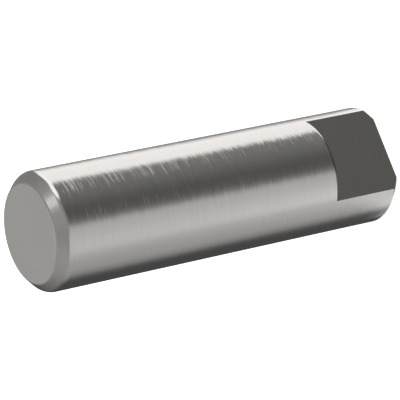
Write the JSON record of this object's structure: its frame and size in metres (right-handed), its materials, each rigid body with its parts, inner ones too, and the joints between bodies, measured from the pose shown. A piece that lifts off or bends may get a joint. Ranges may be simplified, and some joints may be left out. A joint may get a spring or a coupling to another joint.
{
  "type": "tracer pin",
  "caption": "Short solid steel tracer pin: bevelled round nose that follows a template, plain ground shank, and a flat for a set screw at the tail.",
  "frame": {"origin": "centre of the tail face, on the pin's axis", "axes": "+Z along the pin's axis from tail to nose, -Y square to the set screw flat"},
  "size_m": [0.0096, 0.0096, 0.0321],
  "materials": {
    "ground_steel": "ground round the axis, satin"
  },
  "bodies": {
    "root": {"tracer_pin": "ground_steel"}
  },
  "joints": []
}
